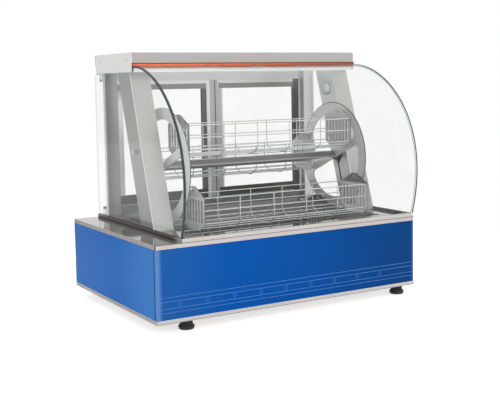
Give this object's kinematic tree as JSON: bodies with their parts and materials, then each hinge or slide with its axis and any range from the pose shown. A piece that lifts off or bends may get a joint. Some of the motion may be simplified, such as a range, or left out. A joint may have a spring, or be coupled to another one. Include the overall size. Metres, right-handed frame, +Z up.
{
  "type": "heated food display case",
  "caption": "Heated chicken display case: painted base with deep well, bowed glass front, hood, sliding rear doors and a motor rotor carrying hanging wire baskets.",
  "frame": {"origin": "centre of the whole object's footprint, on the floor under the feet", "axes": "+X to the right as seen from the customer's side, +Y from the bowed front pane to the rear doors, +Z up"},
  "size_m": [1.002, 0.7298, 0.864],
  "materials": {
    "blue_paint": "gloss",
    "stainless": "brushed",
    "white_liner": "gloss",
    "copper_trim": "polished",
    "black_rubber": "matt",
    "heater_sheath": "heat-stained",
    "clear_glass": "clear",
    "post_steel": "brushed",
    "satin_aluminium": "satin",
    "polished_fixings": "polished",
    "lamp_lens": "frosted",
    "polished_steel": "polished",
    "motor_casting": "cast",
    "basket_steel": "polished wire and sheet",
    "black_plastic": "moulded",
    "red_rocker": "moulded",
    "green_rocker": "moulded",
    "amber_lamp": "moulded"
  },
  "bodies": {
    "case": {"front_panel": "blue_paint", "side_panel_left": "blue_paint", "side_panel_right": "blue_paint", "base_pan": "stainless", "rear_panel": "stainless", "corner_angles": "stainless", "worktop": "stainless", "rim_frame": "stainless", "well_tub": "stainless", "drip_tray": "stainless", "hood_shell": "stainless", "hood_end_left": "stainless", "hood_end_right": "stainless", "hood_liner": "white_liner", "trim_strip": "copper_trim", "foot_1": "black_rubber", "foot_2": "black_rubber", "foot_3": "black_rubber", "foot_4": "black_rubber", "heaters": "heater_sheath", "front_glass": "clear_glass", "side_glass_left": "clear_glass", "side_glass_right": "clear_glass", "post_left": "post_steel", "post_right": "post_steel", "post_covers": "post_steel", "rear_post_left": "post_steel", "rear_post_right": "post_steel", "track_lower": "satin_aluminium", "track_upper": "satin_aluminium", "glass_fixings": "polished_fixings", "lamp_holders": "polished_fixings", "bearing_block": "polished_fixings", "lamp_domes": "lamp_lens", "gearmotor": "motor_casting", "thermostat": "black_plastic", "switch_frames": "black_plastic", "cable_gland": "black_plastic", "pilot_lamp": "amber_lamp"},
    "rotor": {"wheel_left": "polished_steel", "wheel_right": "polished_steel", "rotor_bar": "polished_steel", "pivot_pins": "polished_steel"},
    "basket_1": {"basket_1_ends": "basket_steel", "basket_1_cage": "basket_steel"},
    "basket_2": {"basket_2_ends": "basket_steel", "basket_2_cage": "basket_steel"},
    "basket_3": {"basket_3_ends": "basket_steel", "basket_3_cage": "basket_steel"},
    "basket_4": {"basket_4_ends": "basket_steel", "basket_4_cage": "basket_steel"},
    "door_left": {"door_left_frame": "satin_aluminium", "door_left_pane": "clear_glass"},
    "door_right": {"door_right_frame": "satin_aluminium", "door_right_pane": "clear_glass"},
    "thermostat_knob": {"thermostat_knob": "black_plastic"},
    "rocker_heat": {"rocker_heat": "red_rocker"},
    "rocker_light": {"rocker_light": "green_rocker"}
  },
  "joints": [
    {"name": "rotor_spin", "type": "hinge", "parent": "case", "child": "rotor", "pos_m": [0.05, 0.00491, 0.481], "axis": [1, 0, 0], "continuous": true},
    {"name": "basket_1_hang", "type": "hinge", "parent": "rotor", "child": "basket_1", "pos_m": [0.05, -0.06139, 0.64511], "axis": [1, 0, 0], "continuous": true},
    {"name": "basket_2_hang", "type": "hinge", "parent": "rotor", "child": "basket_2", "pos_m": [0.05, 0.16902, 0.54731], "axis": [1, 0, 0], "continuous": true},
    {"name": "basket_3_hang", "type": "hinge", "parent": "rotor", "child": "basket_3", "pos_m": [0.05, 0.07122, 0.31689], "axis": [1, 0, 0], "continuous": true},
    {"name": "basket_4_hang", "type": "hinge", "parent": "rotor", "child": "basket_4", "pos_m": [0.05, -0.1592, 0.41469], "axis": [1, 0, 0], "continuous": true},
    {"name": "door_left_slide", "type": "slide", "parent": "case", "child": "door_left", "axis": [1, 0, 0], "range_m": [0, 0.42]},
    {"name": "door_right_slide", "type": "slide", "parent": "case", "child": "door_right", "axis": [-1, 0, 0], "range_m": [0, 0.42]},
    {"name": "thermostat_turn", "type": "hinge", "parent": "case", "child": "thermostat_knob", "pos_m": [-0.381, 0.34691, 0.1665], "axis": [0, 1, 0], "range_deg": [0, 270]},
    {"name": "rocker_heat_press", "type": "hinge", "parent": "case", "child": "rocker_heat", "pos_m": [-0.319, 0.34291, 0.1665], "axis": [1, 0, 0], "range_deg": [0, 14]},
    {"name": "rocker_light_press", "type": "hinge", "parent": "case", "child": "rocker_light", "pos_m": [-0.257, 0.34291, 0.1665], "axis": [1, 0, 0], "range_deg": [0, 14]}
  ],
  "couplings": [
    {"joint": "basket_1_hang", "follows": "rotor_spin", "ratio": -1},
    {"joint": "basket_2_hang", "follows": "rotor_spin", "ratio": -1},
    {"joint": "basket_3_hang", "follows": "rotor_spin", "ratio": -1},
    {"joint": "basket_4_hang", "follows": "rotor_spin", "ratio": -1}
  ]
}
